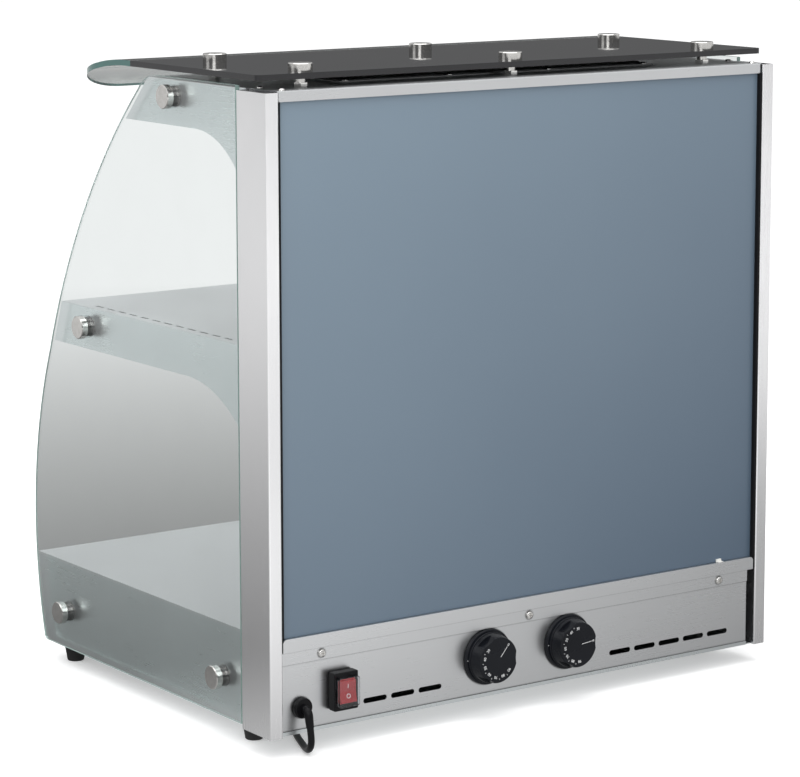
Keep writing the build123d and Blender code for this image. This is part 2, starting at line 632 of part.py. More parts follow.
def side_glass(side):
    to3 = lambda d, h: (0, at(d), up(h))
    top = BODY_HEIGHT + GLASS_RISE
    rear = POST_DEPTH + GLASS_TO_POST
    bulge = GLASS_BEND + 0.561 * (top - 16 - GLASS_BEND)
    shoulder = ThreePointArc(to3(212, top), to3(231, top - 4.5), to3(246, top - 16))
    upper = ThreePointArc(to3(246, top - 16), to3(360.8, bulge), to3(447, GLASS_BEND))
    lower = ThreePointArc(to3(447, GLASS_BEND), to3(486.5, 174.7), to3(470, GLASS_BOTTOM))
    ends = Polyline(to3(470, GLASS_BOTTOM), to3(rear, GLASS_BOTTOM), to3(rear, top), to3(212, top))
    glass = side_prism(Curve() + [shoulder, upper, lower, ends], side * (HALF - GLASS_THICK), side * HALF)
    front_foot = glass.edges().filter_by(Axis.X).group_by(Axis.Z)[0].sort_by(Axis.Y)[0]
    glass = fillet(front_foot, 6.0)
    for depth, height in SIDE_CAPS:
        glass -= rod_x(side * (HALF - GLASS_THICK - 1), side * (HALF + 1), depth, height, GLASS_HOLE)
    return glass


def side_spacers(side):
    rings = []
    for depth, height in SIDE_CAPS:
        ring = rod_x(side * SIDE_X, side * (SIDE_X + GLASS_SPACER), depth, height, SPACER_DIAMETER)
        rings.append(ring - rod_x(side * (SIDE_X - 1), side * (HALF + 1), depth, height, BOLT_HOLE))
    return gather(rings)


def side_bolts(side):
    bolts = []
    for depth, height in SIDE_CAPS:
        head = hex_x(side * (INNER_X - 4), side * INNER_X, depth, height, 10.0)
        bolts.append(head + rod_x(side * INNER_X, side * (HALF + CAP_THICK - 2.5), depth, height, BOLT_DIAMETER))
    return gather(bolts)


def side_caps(side):
    caps = []
    for depth, height in SIDE_CAPS:
        cap = rod_x(side * HALF, side * (HALF + CAP_THICK), depth, height, CAP_DIAMETER)
        rim = cap.edges().filter_by(GeomType.CIRCLE).sort_by(Axis.X)[-1 if side > 0 else 0]
        cap = chamfer(rim, 0.8)
        caps.append(cap - rod_x(side * (HALF - 1), side * (HALF + CAP_THICK - 2.5), depth, height, BOLT_DIAMETER))
    return gather(caps)


def canopy_places():
    return [(x, depth) for depth in CANOPY_CAP_DEPTHS for x in (-CANOPY_CAP_X, 0.0, CANOPY_CAP_X)]


def canopy_glass():
    """Flat glass that bends down towards its rounded front corners."""
    spare = 10.0
    to3 = lambda d, h: (0, at(d), up(h))
    centre = (CANOPY_BEND, CANOPY_TOP - CANOPY_RADIUS)
    inner = CANOPY_RADIUS - CANOPY_THICK
    sweep_angle = asin((CANOPY_FRONT + spare - CANOPY_BEND) / inner)
    on = lambda radius, angle: to3(centre[0] + radius * sin(angle), centre[1] + radius * cos(angle))
    arc = lambda radius, a0, a1: ThreePointArc(on(radius, a0), on(radius, (a0 + a1) / 2), on(radius, a1))
    upper = arc(CANOPY_RADIUS, 0, sweep_angle)
    lower = arc(inner, sweep_angle, 0)
    front = Line(on(CANOPY_RADIUS, sweep_angle), on(inner, sweep_angle))
    behind = CANOPY_REAR - spare
    rear = Polyline(on(inner, 0), to3(behind, CANOPY_BOTTOM), to3(behind, CANOPY_TOP), on(CANOPY_RADIUS, 0))
    bent = side_prism(Curve() + [upper, front, lower, rear], -CANOPY_HALF - spare, CANOPY_HALF + spare)
    plan = block(-CANOPY_HALF, CANOPY_HALF, CANOPY_REAR, CANOPY_FRONT, CANOPY_TOP - CANOPY_RADIUS, CANOPY_TOP + 1)
    plan = fillet(plan.edges().filter_by(Axis.Z).group_by(Axis.Y)[0], CANOPY_FRONT_CORNER)
    plan = fillet(plan.edges().filter_by(Axis.Z).group_by(Axis.Y)[-1], CANOPY_REAR_CORNER)
    glass = bent & plan
    for x, depth in canopy_places():
        glass -= rod_z(x, depth, CANOPY_BOTTOM - 1, CANOPY_TOP + 1, GLASS_HOLE)
    return glass


def canopy_nuts():
    nuts = []
    for x, depth in canopy_places():
        nut = hex_z(x, depth, PLATE_TOP, PLATE_TOP + CANOPY_NUT_THICK, CANOPY_NUT_FLATS)
        nuts.append(nut - rod_z(x, depth, PLATE_TOP - 1, CANOPY_TOP, BOLT_DIAMETER))
    return gather(nuts)


def canopy_spacers():
    tubes = []
    for x, depth in canopy_places():
        tube = rod_z(x, depth, PLATE_TOP + CANOPY_NUT_THICK, CANOPY_BOTTOM, CANOPY_SPACER_DIAMETER)
        tubes.append(tube - rod_z(x, depth, PLATE_TOP, CANOPY_TOP, BOLT_HOLE))
    return gather(tubes)


def canopy_bolts():
    bolts = []
    for x, depth in canopy_places():
        head = hex_z(x, depth, BODY_HEIGHT - 4, BODY_HEIGHT, 10.0)
        bolts.append(head + rod_z(x, depth, BODY_HEIGHT, CANOPY_TOP + CANOPY_CAP_THICK - 3, BOLT_DIAMETER))
    return gather(bolts)


def canopy_caps():
    caps = []
    for x, depth in canopy_places():
        cap = rod_z(x, depth, CANOPY_TOP, CANOPY_TOP + CANOPY_CAP_THICK, CAP_DIAMETER)
        cap = chamfer(cap.edges().group_by(Axis.Z)[-1], 0.8)
        caps.append(cap - rod_z(x, depth, CANOPY_TOP - 1, CANOPY_TOP + CANOPY_CAP_THICK - 3, BOLT_DIAMETER))
    return gather(caps)


# ---------------------------------------------------------------- heat

def element(height, front, half, rear, passes):
    """Tubular heater bent to and fro, with both ends towards the rear."""
    tube = 6.5
    pitch = 2 * half / (2 * passes - 1)
    xs = [-half + i * pitch for i in range(2 * passes)]
    points = []
    for i, x in enumerate(xs):
        ends = (rear, front) if i % 2 == 0 else (front, rear + 40)
        if i == len(xs) - 1:
            ends = (front, rear)
        points.extend([(x, at(ends[0]), up(height)), (x, at(ends[1]), up(height))])
    path = FilletPolyline(*points, radius=pitch * 0.45)
    section = Plane(origin=path @ 0, z_dir=path % 0) * Circle(tube / 2)
    return sweep(section, path=path)


def shelf_element():
    return element(SHELF_BOTTOM + SHEET + 3.3, 400.0, 230.0, 70.0, 3)


def deck_element():
    return element(DECK_TOP - SHEET - 3.3, 430.0, 230.0, 110.0, 3)


def thermostat(x):
    """Thermostat body on the inside of the panel, with the bush that carries the spindle."""
    wide, deep, high = THERMOSTAT_SIZE
    inside = PANEL_DEPTH + SHEET
    body = block(x - wide / 2, x + wide / 2, inside, inside + deep, KNOB_HEIGHT - high / 2, KNOB_HEIGHT + high / 2)
    body = fillet(body.edges().filter_by(Axis.Y), 4.0)
    body += rod_y(x, PANEL_DEPTH - BEZEL_THICK + 2, inside, KNOB_HEIGHT, BUSH_DIAMETER)
    bore = SPINDLE_DIAMETER + 2 * RUNNING_FIT
    return body - rod_y(x, PANEL_DEPTH - BEZEL_THICK, inside + deep / 2, KNOB_HEIGHT, bore)


def spindle(x):
    start = PANEL_DEPTH - KNOB_PROUD + 5
    end = PANEL_DEPTH + SHEET + THERMOSTAT_SIZE[1] / 2 - 0.5
    return rod_y(x, start, end, KNOB_HEIGHT, SPINDLE_DIAMETER)


def bezel(x):
    """Dial plate round a knob: a wide rim and a raised inner ring."""
    ring = rod_y(x, PANEL_DEPTH - BEZEL_THICK * 0.6, PANEL_DEPTH, KNOB_HEIGHT, BEZEL_DIAMETER)
    ring = fillet(ring.edges().group_by(Axis.Y)[-1], 1.6)
    ring += rod_y(x, PANEL_DEPTH - BEZEL_THICK, PANEL_DEPTH, KNOB_HEIGHT, BEZEL_DIAMETER - 5)
    ring = fillet(ring.edges().group_by(Axis.Y)[-1], 1.0)
    return ring - rod_y(x, PANEL_DEPTH - BEZEL_THICK - 1, PANEL_DEPTH + 1, KNOB_HEIGHT, BUSH_DIAMETER + 0.4)


def knob(x):
    """Tapered knob with finger scallops, a flat face and a bore for the spindle."""
    back = BEZEL_THICK + KNOB_GAP
    length = KNOB_PROUD - back
    body = Cone(KNOB_BASE_DIAMETER / 2, KNOB_FACE_DIAMETER / 2, length)
    body = fillet(body.edges().group_by(Axis.Z)[-1], 1.2)
    for i in range(KNOB_LOBES):
        away = KNOB_BASE_DIAMETER / 2 + SCOOP_RADIUS - SCOOP_DEPTH
        scoop = Pos(away, 0, SCOOP_START) * Cylinder(SCOOP_RADIUS, length)
        body -= Rot(0, 0, (i + 0.5) * 360 / KNOB_LOBES) * scoop
    body -= Pos(0, 0, -length / 2 + 1.5) * Cylinder(KNOB_BASE_DIAMETER / 2 - 5, 3.2)
    body = Pos(x, PANEL_Y + back + length / 2, up(KNOB_HEIGHT)) * Rot(-90, 0, 0) * body
    return body - rod_y(x, PANEL_DEPTH - KNOB_PROUD + 5, PANEL_DEPTH, KNOB_HEIGHT, SPINDLE_DIAMETER)


# ---------------------------------------------------------------- switch

def switch_housing():
    wide, high = SWITCH_SIZE
    front = SWITCH_FRONT
    frame = block(SWITCH_X - wide / 2, SWITCH_X + wide / 2, front, PANEL_DEPTH - 3.0,
                  SWITCH_HEIGHT - high / 2, SWITCH_HEIGHT + high / 2)
    frame = fillet(frame.edges().filter_by(Axis.Y), 1.5)
    frame = chamfer(frame.edges().group_by(Axis.Y)[-1], 0.6)
    frame += block(SWITCH_X - wide / 2 + 1, SWITCH_X + wide / 2 - 1, PANEL_DEPTH - 3.0, PANEL_DEPTH,
                   SWITCH_HEIGHT - high / 2 + 1, SWITCH_HEIGHT + high / 2 - 1)
    frame += block(SWITCH_X - 11, SWITCH_X + 11, PANEL_DEPTH, PANEL_DEPTH + 24,
                   SWITCH_HEIGHT - 15, SWITCH_HEIGHT + 15)
    well_x = ROCKER_SIZE[0] / 2 + ROCKER_GAP
    well_h = ROCKER_SIZE[1] / 2 + 1.2
    well = block(SWITCH_X - well_x, SWITCH_X + well_x, front - 1, front + 12,
                 SWITCH_HEIGHT - well_h, SWITCH_HEIGHT + well_h)
    return frame - well - rocker_axle(RUNNING_FIT)


def rocker_axle(extra=0.0):
    half = ROCKER_SIZE[0] / 2 + ROCKER_GAP + 1.5
    diameter = ROCKER_AXLE + 2 * extra
    return rod_x(SWITCH_X - half - extra, SWITCH_X + half + extra, ROCKER_AXLE_AT, SWITCH_HEIGHT, diameter)


def rocker():
    """Rocker on a cross axle: its upper half pressed in, its lower half standing out."""
    half = ROCKER_SIZE[1] / 2
    face = SWITCH_FRONT - ROCKER_PROUD
    middle = (ROCKER_PROUD + ROCKER_AXLE_DEPTH) * tan(radians(ROCKER_TRAVEL / 2))
    tip = face - (half + middle) * tan(radians(ROCKER_TRAVEL))
    heel = ROCKER_AXLE_AT - 1
    outline = side_outline([
        (heel, SWITCH_HEIGHT + half), (face, SWITCH_HEIGHT + half), (face, SWITCH_HEIGHT + middle),
        (tip, SWITCH_HEIGHT - half), (heel, SWITCH_HEIGHT - half), (heel + 3, SWITCH_HEIGHT - 4),
        (heel + 3, SWITCH_HEIGHT + 4),
    ])
    body = side_prism(outline, SWITCH_X - ROCKER_SIZE[0] / 2, SWITCH_X + ROCKER_SIZE[0] / 2)
    body = fillet(body.edges().filter_by(Axis.X).group_by(Axis.Y)[-1], 0.8)
    return body + rocker_axle()


def switch_cover():
    """Clear splash cover, a thin box over the rocker."""
    wide, high = COVER_SIZE
    front = SWITCH_FRONT
    outer = block(SWITCH_X - wide / 2, SWITCH_X + wide / 2, front - COVER_PROUD, front,
                  SWITCH_HEIGHT - high / 2, SWITCH_HEIGHT + high / 2)
    outer = fillet(outer.edges().filter_by(Axis.Y), 2.5)
    outer = fillet(outer.edges().group_by(Axis.Y)[-1], 1.6)
    wide -= 2 * COVER_WALL
    high -= 2 * COVER_WALL
    return outer - block(SWITCH_X - wide / 2, SWITCH_X + wide / 2, front - COVER_PROUD + COVER_WALL, front + 1,
                         SWITCH_HEIGHT - high / 2, SWITCH_HEIGHT + high / 2)


# ---------------------------------------------------------------- feet

def feet():
    cups = []
    for side in (1, -1):
        for depth in FOOT_DEPTHS:
            cup = Cone(FOOT_BOTTOM_DIAMETER / 2, FOOT_TOP_DIAMETER / 2, FOOT_HEIGHT)
            cup = fillet(cup.edges().group_by(Axis.Z)[0], 1.5)
            cup -= Pos(0, 0, -FOOT_HEIGHT / 2) * Cylinder(5.0, 14.0)
            cup -= Cylinder(2.6, FOOT_HEIGHT * 2)
            cups.append(Pos(side * FOOT_X, at(depth), FOOT_HEIGHT / 2) * cup)
    return gather(cups)


def foot_screws():
    screws = []
    for side in (1, -1):
        for depth in FOOT_DEPTHS:
            seat = 7.0 - FOOT_HEIGHT
            screws.append(down_screw(side * FOOT_X, depth, seat, 5.0, 8.6, FOOT_HEIGHT - 7.0 + 8, sign=-1))
    return gather(screws)


# ---------------------------------------------------------------- mains lead

CORD_Z = CORD_DIAMETER / 2
RELIEF_BEND = 90 - RELIEF_SLANT
ELBOW_Y = PANEL_Y + GLAND_PROUD + 1.0
ELBOW_Z = up(GLAND_HEIGHT)
CORD_ROUTE = [            # from the strain relief, under the case, to the coil
    (289.5, 252.6, 30.6),
    (289.5, 254.4, 22.2),
    (288.9, 253.6, 13.6),
    (287.2, 247.4, 6.4),
    (284.0, 237.3, CORD_Z),
    (276.5, 217.5, CORD_Z),
    (264.5, 187.5, CORD_Z),
    (238.0, 137.5, CORD_Z),
    (192.0, 71.5, CORD_Z),
    (142.0, -10.5, CORD_Z),
    (102.0, -92.5, CORD_Z),
    (62.0, -166.5, CORD_Z),
    (36.0, -224.5, CORD_Z),
    (24.0, -268.5, CORD_Z),
    (17.5, -300.5, CORD_Z),
    (15.5, -324.5, CORD_Z),
]
CORD_END = [              # from the top turn of the coil to the plug
    (-70.5, -330.5, 11.2),
    (-72.5, -315.5, 12.2),
    (-79.0, -299.5, 10.6),
    (-94.0, -288.5, 6.2),
    (-114.0, -284.5, 4.8),
    (-134.0, -285.5, 8.6),
    (-150.0, -286.5, 11.0),
]


def cable_gland():
    disc = rod_y(GLAND_X, PANEL_DEPTH - GLAND_PROUD, PANEL_DEPTH, GLAND_HEIGHT, GLAND_DIAMETER)
    disc = fillet(disc.edges().group_by(Axis.Y)[-1], 1.8)
    return disc + rod_y(GLAND_X, PANEL_DEPTH, PANEL_DEPTH + 12, GLAND_HEIGHT, GLAND_NECK)


def strain_relief():
    """Elbow out of the gland, then a taper that points down and a little outward."""
    radius = RELIEF_TOP_DIAMETER / 2
    neck = Pos(GLAND_X, ELBOW_Y - 0.5, ELBOW_Z) * Rot(90, 0, 0) * Cylinder(radius, 1.0)
    bend_plane = Plane(origin=(GLAND_X, ELBOW_Y, ELBOW_Z - ELBOW_RADIUS), x_dir=(0, 1, 0), z_dir=(1, 0, 0))
    path = bend_plane * CenterArc((0, 0, 0), ELBOW_RADIUS, 90, -RELIEF_BEND)
    section = Plane(origin=path @ 0, z_dir=path % 0) * Circle(radius)
    elbow = sweep(section, path=path)
    taper = Cone(radius, RELIEF_END_DIAMETER / 2, RELIEF_LENGTH)
    end = Plane(origin=path @ 1, z_dir=path % 1)
    relief = neck + elbow + end * Pos(0, 0, RELIEF_LENGTH / 2) * taper
    print("strain relief ends at", end.origin + end.z_dir * RELIEF_LENGTH)
    return relief


def corner_radii(points):
    """The largest arc that the two runs at each corner allow."""
    radii = []
    for a, b, c in zip(points, points[1:], points[2:]):
        before, after = Vector(*b) - Vector(*a), Vector(*c) - Vector(*b)
        turn = radians(before.get_angle(after))
        radii.append(0.45 * min(before.length, after.length) / tan(turn / 2))
    return radii


def lead(name, points):
    """Round lead along the points, each corner rounded as far as its runs allow."""
    radii = corner_radii(points)
    path = FilletPolyline(*points, radius=radii)
    section = Plane(origin=path @ 0, z_dir=path % 0) * Circle(CORD_DIAMETER / 2)
    tube = sweep(section, path=path)
    print(name, "radii", [round(r, 1) for r in radii])
    print(name, "length", round(path.length, 1), "volume ratio",
          round(tube.volume / (path.length * pi * CORD_DIAMETER ** 2 / 4), 4))
    return tube


def cord_tube():
    return lead("cord_tube", CORD_ROUTE)


def cord_tail():
    return lead("cord_tail", CORD_END)


def cord_coil():
    outer = (COIL_MEAN_DIAMETER + COIL_BAND) / 2
    inner = (COIL_MEAN_DIAMETER - COIL_BAND) / 2
    ring = Cylinder(outer, COIL_HEIGHT) - Cylinder(inner, COIL_HEIGHT + 2)
    ring = fillet(ring.edges().filter_by(GeomType.CIRCLE), 3.0)
    return Pos(*COIL_CENTRE, COIL_HEIGHT / 2) * ring


def plug_place():
    """Frame at the plug's cable end, with its local +Y towards the lead."""
    x, y, z = CORD_END[-1]
    return Pos(x - PLUG_RELIEF - PLUG_LENGTH / 2, y, PLUG_THICK / 2) * Rot(0, 0, -90)


def plug_body():
    body = Box(PLUG_WIDTH, PLUG_LENGTH, PLUG_THICK)
    body = fillet(body.edges().filter_by(Axis.Y), 6.0)
    body = fillet(body.edges().group_by(Axis.Y)[-1], 5.0)
    taper = Cone(PLUG_RELIEF_DIAMETER / 2, CORD_DIAMETER / 2 + 1, PLUG_RELIEF)
    return plug_place() * (body + Pos(0, (PLUG_LENGTH + PLUG_RELIEF) / 2, 0) * Rot(-90, 0, 0) * taper)


def plug_pins():
    face = -PLUG_LENGTH / 2
    blades = [Pos(side * 6.35, face - 9, 3) * Box(6.4, 18, 1.6) for side in (1, -1)]
    blades.append(Pos(0, face - 10, -6) * Rot(90, 0, 0) * Cylinder(2.4, 20))
    return gather([plug_place() * blade for blade in blades])


# ---------------------------------------------------------------- all pieces

PIECES = {
    "base_shell": base_shell,
    "deck_plate": deck,
    "control_panel": control_panel,
    "post_left": lambda: post(1),
    "post_right": lambda: post(-1),
    "top_rail": top_rail,
    "lower_rail": lower_rail,
    "lower_rail_screws": rail_screws,
    "rear_mirror": mirror,
    "mirror_gasket_left": lambda: gasket(1),
    "mirror_gasket_right": lambda: gasket(-1),
    "mirror_clip": mirror_clip,
    "shelf_top": shelf_top,
    "shelf_pan": shelf_pan,
    "shelf_pan_screws": shelf_pan_screws,
    "shelf_bracket_left": lambda: shelf_bracket(1),
    "shelf_bracket_right": lambda: shelf_bracket(-1),
    "shelf_element": shelf_element,
    "deck_element": deck_element,
    "top_bracket_left": lambda: top_bracket(1),
    "top_bracket_right": lambda: top_bracket(-1),
    "top_fascia": top_fascia,
    "top_plate": top_plate,
    "top_pan": top_pan,
    "access_cover": access_cover,
    "top_screws": top_screws,
    "lamp_lens": lamp_lens,
    "lamp_tube": lamp_tube,
    "lamp_holders": lamp_holders,
    "lamp_reflector": reflector,
    "side_glass_left": lambda: side_glass(1),
    "side_glass_right": lambda: side_glass(-1),
    "glass_spacers_left": lambda: side_spacers(1),
    "glass_spacers_right": lambda: side_spacers(-1),
    "glass_bolts_left": lambda: side_bolts(1),
    "glass_bolts_right": lambda: side_bolts(-1),
    "glass_caps_left": lambda: side_caps(1),
    "glass_caps_right": lambda: side_caps(-1),
    "canopy_glass": canopy_glass,
    "canopy_nuts": canopy_nuts,
    "canopy_spacers": canopy_spacers,
    "canopy_bolts": canopy_bolts,
    "canopy_caps": canopy_caps,
    "thermostat_left": lambda: thermostat(KNOB_X[0]),
    "thermostat_right": lambda: thermostat(KNOB_X[1]),
    "dial_bezels": lambda: gather([bezel(x) for x in KNOB_X]),
    "knob_left": lambda: knob(KNOB_X[0]) + spindle(KNOB_X[0]),
    "knob_right": lambda: knob(KNOB_X[1]) + spindle(KNOB_X[1]),
    "switch_housing": switch_housing,
    "switch_rocker": rocker,
    "switch_cover": switch_cover,
    "cable_gland": cable_gland,
    "strain_relief": strain_relief,
    "rubber_feet": feet,
    "foot_screws": foot_screws,
    "cord_tube": cord_tube,
    "cord_tail": cord_tail,
    "cord_coil": cord_coil,
    "plug_body": plug_body,
    "plug_pins": plug_pins,
}


def main():
    os.makedirs("parts", exist_ok=True)
    for name, make in PIECES.items():
        shape = make()
        export_step(shape, f"parts/{name}.step")


main()
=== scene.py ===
"""Countertop hot food display case: looks, markings, mains lead, studio and camera on the CAD frame."""
import bmesh
import bpy
from math import cos, pi, radians, sin, tan
from mathutils import Matrix, Vector


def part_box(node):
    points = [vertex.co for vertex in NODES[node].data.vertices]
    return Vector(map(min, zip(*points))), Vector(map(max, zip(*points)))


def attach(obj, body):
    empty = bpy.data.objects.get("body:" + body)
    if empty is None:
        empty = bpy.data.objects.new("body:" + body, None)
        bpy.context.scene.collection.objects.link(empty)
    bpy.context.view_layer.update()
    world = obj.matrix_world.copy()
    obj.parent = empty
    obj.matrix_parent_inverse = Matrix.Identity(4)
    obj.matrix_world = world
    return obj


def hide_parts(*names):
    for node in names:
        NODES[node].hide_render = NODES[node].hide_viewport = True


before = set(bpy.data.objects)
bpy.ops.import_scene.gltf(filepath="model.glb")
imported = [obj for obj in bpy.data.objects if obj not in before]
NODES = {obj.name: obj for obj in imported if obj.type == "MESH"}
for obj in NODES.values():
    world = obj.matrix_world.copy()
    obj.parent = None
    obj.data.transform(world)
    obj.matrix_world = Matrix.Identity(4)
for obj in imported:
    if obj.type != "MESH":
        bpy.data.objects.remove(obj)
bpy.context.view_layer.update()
MM = 0.001


# ---------------------------------------------------------------- material helpers

class Paint:
    """One Principled material and short calls that wire nodes into it."""

    def __init__(self, name, color, roughness, metallic=0.0, **sockets):
        self.mat = bpy.data.materials.new(name)
        self.mat.use_nodes = True
        self.tree = self.mat.node_tree
        self.shader = self.tree.nodes["Principled BSDF"]
        self.set("Base Color", (*color, 1.0))
        self.set("Roughness", roughness)
        self.set("Metallic", metallic)
        for socket, value in sockets.items():
            self.set(socket.replace("_", " "), value)
        self.coords = self.node("ShaderNodeTexCoord").outputs["Object"]

    def set(self, socket, value):
        self.shader.inputs[socket].default_value = value

    def node(self, kind, **values):
        node = self.tree.nodes.new(kind)
        for key, value in values.items():
            setattr(node, key, value)
        return node

    def link(self, source, target):
        self.tree.links.new(source, target)

    def noise(self, scale, detail=3.0, rough=0.5, stretch=(1, 1, 1)):
        """Noise over the object's own metres; stretch divides the pattern's size along each axis."""
        mapping = self.node("ShaderNodeMapping")
        mapping.inputs["Scale"].default_value = stretch
        noise = self.node("ShaderNodeTexNoise")
        noise.inputs["Scale"].default_value = scale
        noise.inputs["Detail"].default_value = detail
        noise.inputs["Roughness"].default_value = rough
        self.link(self.coords, mapping.inputs["Vector"])
        self.link(mapping.outputs["Vector"], noise.inputs["Vector"])
        return noise.outputs["Fac"]

    def ranged(self, source, low, high, start=0.3, end=0.7):
        """The source, which runs about from start to end, mapped to low..high."""
        mapped = self.node("ShaderNodeMapRange")
        for socket, value in (("From Min", start), ("From Max", end), ("To Min", low), ("To Max", high)):
            mapped.inputs[socket].default_value = value
        self.link(source, mapped.inputs["Value"])
        return mapped.outputs["Result"]

    def blend(self, factor, first, second):
        mix = self.node("ShaderNodeMix", data_type="RGBA")
        for socket, value in ((mix.inputs[6], first), (mix.inputs[7], second)):
            if isinstance(value, tuple):
                socket.default_value = (*value, 1.0)
            else:
                self.link(value, socket)
        self.link(factor, mix.inputs[0])
        return mix.outputs[2]

    def maths(self, operation, first, second):
        node = self.node("ShaderNodeMath", operation=operation)
        for socket, value in zip(node.inputs, (first, second)):
            if isinstance(value, (int, float)):
                socket.default_value = value
            else:
                self.link(value, socket)
        return node.outputs[0]

    def drive(self, socket, source):
        self.link(source, self.shader.inputs[socket])

    def bump(self, height, distance, strength=1.0):
        bump = self.node("ShaderNodeBump")
        bump.inputs["Distance"].default_value = distance
        bump.inputs["Strength"].default_value = strength
        self.link(height, bump.inputs["Height"])
        self.link(bump.outputs["Normal"], self.shader.inputs["Normal"])

    def crevice(self, reach, darkest):
        """Ambient-occlusion factor for painted shade: 1 on open faces, down to darkest in corners and seams
        narrower than reach.
        """
        hidden = self.node("ShaderNodeAmbientOcclusion", samples=6)
        hidden.inputs["Distance"].default_value = reach
        return self.ranged(hidden.outputs["AO"], darkest, 1.0, 0.45, 0.92)

    def axis_of(self, name, source):
        """One component of a vector output."""
        split = self.node("ShaderNodeSeparateXYZ")
        self.link(source, split.inputs[0])
        return split.outputs[name]


SEAM_SHADE_REACH = 2.2 * MM                   # reach of the painted shade that darkens the line where two sheets meet


def steel(name, tone, roughness, grain):
    """Stainless sheet: long fine grain, faint cloudy changes in gloss, painted shade (ambient occlusion)
    darkening seams and corners.
    """
    paint = Paint(name, tone, roughness, 1.0)
    lines = paint.noise(900.0, 2.0, 0.6, grain)
    clouds = paint.noise(7.0, 3.0, 0.55)
    dark = tuple(c * 0.988 for c in tone)
    light = tuple(min(1.0, c * 1.01) for c in tone)
    sheet = paint.blend(paint.ranged(lines, 0.0, 1.0), dark, light)
    # painted shade: ambient occlusion darkens the colour down to 0.12 of the tone in corners and seams
    painted_seam_shade = tuple(c * 0.12 for c in tone)
    paint.drive("Base Color", paint.blend(paint.crevice(SEAM_SHADE_REACH, 0.0), painted_seam_shade, sheet))
    spread = paint.maths("ADD", paint.ranged(lines, -0.03, 0.03), paint.ranged(clouds, -0.03, 0.03))
    paint.drive("Roughness", paint.maths("ADD", spread, roughness))
    paint.bump(lines, 0.00004, 0.06)
    return paint.mat


def turned(name, tone, roughness):
    """Machined steel with a fine isotropic tool texture."""
    paint = Paint(name, tone, roughness, 1.0)
    marks = paint.noise(2600.0, 2.0, 0.6, (1.0, 1.0, 0.25))
    patches = paint.noise(160.0, 2.0)
    dull = tuple(c * 0.9 for c in tone)
    paint.drive("Base Color", paint.blend(paint.ranged(patches, 0.0, 1.0), dull, tone))
    paint.drive("Roughness", paint.ranged(marks, roughness - 0.03, roughness + 0.04))
    paint.bump(marks, 0.00002, 0.15)
    return paint.mat


def moulded(name, color, roughness, grain=1400.0, depth=0.00003, **sockets):
    """Moulded plastic or rubber: fine spark texture and slow change in gloss."""
    paint = Paint(name, color, roughness, 0.0, **sockets)
    fine = paint.noise(grain, 2.0, 0.6)
    slow = paint.noise(24.0, 3.0)
    light = tuple(min(1.0, c * 1.25 + 0.001) for c in color)
    paint.drive("Base Color", paint.blend(paint.ranged(slow, 0.0, 1.0), color, light))
    paint.drive("Roughness", paint.ranged(slow, roughness - 0.06, roughness + 0.08))
    paint.bump(fine, depth, 0.6)
    return paint.mat


def pane(name, face, edge, axis):
    """Clear toughened glass whose cut edges look green; axis is the way its faces look."""
    paint = Paint(name, face, 0.02, 0.0, IOR=1.5, Transmission_Weight=1.0)
    normal = paint.node("ShaderNodeNewGeometry").outputs["Normal"]
    across = paint.maths("ABSOLUTE", paint.axis_of(axis, normal), 0.0)
    smear = paint.noise(18.0, 3.0)
    film = paint.blend(paint.ranged(smear, 0.0, 1.0), face, tuple(c * 0.985 for c in face))
    paint.drive("Base Color", paint.blend(paint.ranged(across, 0.0, 1.0, 0.3, 0.8), edge, film))
    paint.drive("Transmission Weight", paint.ranged(across, 0.35, 1.0, 0.3, 0.8))
    paint.drive("Roughness", paint.ranged(across, 0.22, 0.015, 0.3, 0.8))
    return paint.mat


def printed_canopy(name, print_edge):
    """Clear glass with a glossy black print behind a straight line across it."""
    paint = Paint(name, (0.9, 0.97, 0.95), 0.02, 0.0, IOR=1.5)
    paint.set("Specular IOR Level", 0.4)
    y = paint.axis_of("Y", paint.coords)
    printed = paint.maths("GREATER_THAN", y, print_edge)
    normal = paint.node("ShaderNodeNewGeometry").outputs["Normal"]
    flat = paint.ranged(paint.maths("ABSOLUTE", paint.axis_of("Z", normal), 0.0), 0.0, 1.0, 0.2, 0.6)
    clear = paint.blend(flat, (0.06, 0.17, 0.155), (0.93, 0.98, 0.965))
    cloud = paint.ranged(paint.noise(30.0), 0.0, 1.0)
    black = paint.blend(cloud, (0.006, 0.006, 0.008), (0.009, 0.009, 0.011))
    paint.drive("Base Color", paint.blend(printed, clear, black))
    see_through = paint.maths("SUBTRACT", 1.0, printed)
    thinness = paint.ranged(flat, 0.25, 1.0, 0.0, 1.0)
    paint.drive("Transmission Weight", paint.maths("MULTIPLY", see_through, thinness))
    paint.drive("Roughness", paint.ranged(paint.noise(60.0), 0.03, 0.06))
    return paint.mat


